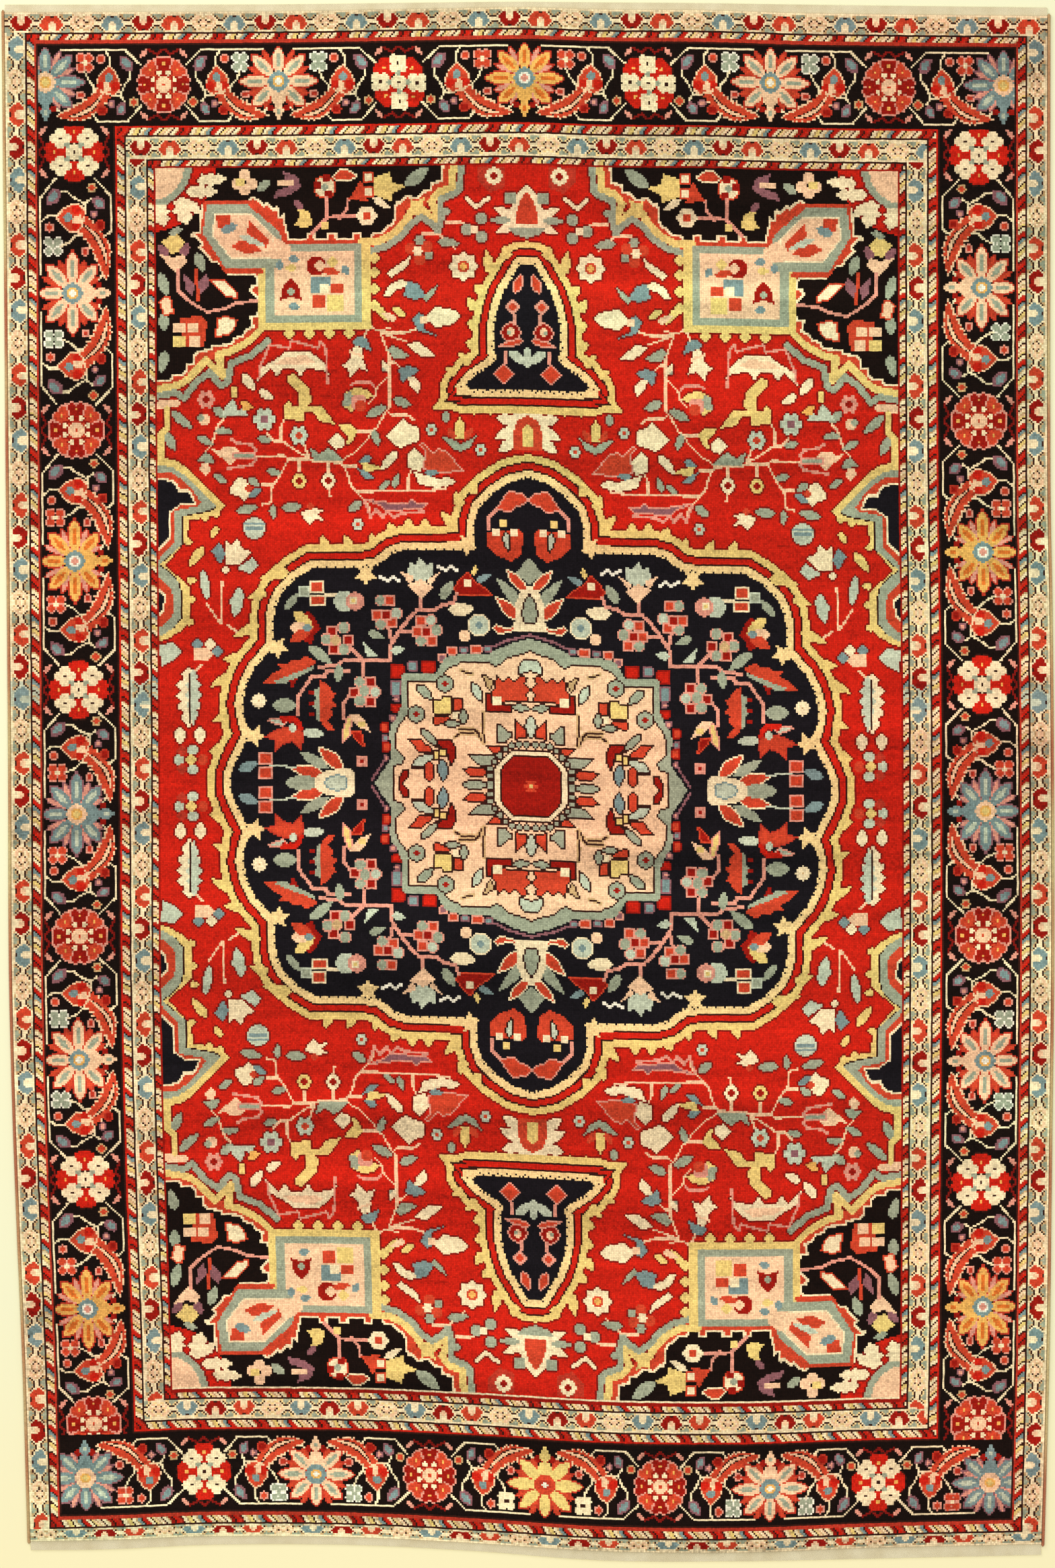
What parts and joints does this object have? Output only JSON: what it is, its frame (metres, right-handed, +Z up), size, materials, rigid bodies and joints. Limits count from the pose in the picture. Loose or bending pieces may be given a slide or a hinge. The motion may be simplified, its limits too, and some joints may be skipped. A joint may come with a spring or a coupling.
{
  "type": "persian rug",
  "caption": "Hand-knotted wool rug with a lobed central medallion, corner pieces, flower borders, overcast sides and plain cotton ends, lying flat.",
  "frame": {"origin": "on the floor under the middle of the rug's bounding box", "axes": "+X across the rug to the right, +Y along the rug towards its head, +Z up out of the pile"},
  "size_m": [1.41, 2.0886, 0.006],
  "materials": {
    "wool_pile": "low clipped wool pile in many colours, matt with a slight sheen, lightly worn, with plain cream cotton ends",
    "edge_wool": "overcast rust and tan wool yarn, matt"
  },
  "bodies": {
    "root": {"rug_body": "wool_pile", "selvedge_left": "edge_wool", "selvedge_right": "edge_wool"}
  },
  "joints": []
}
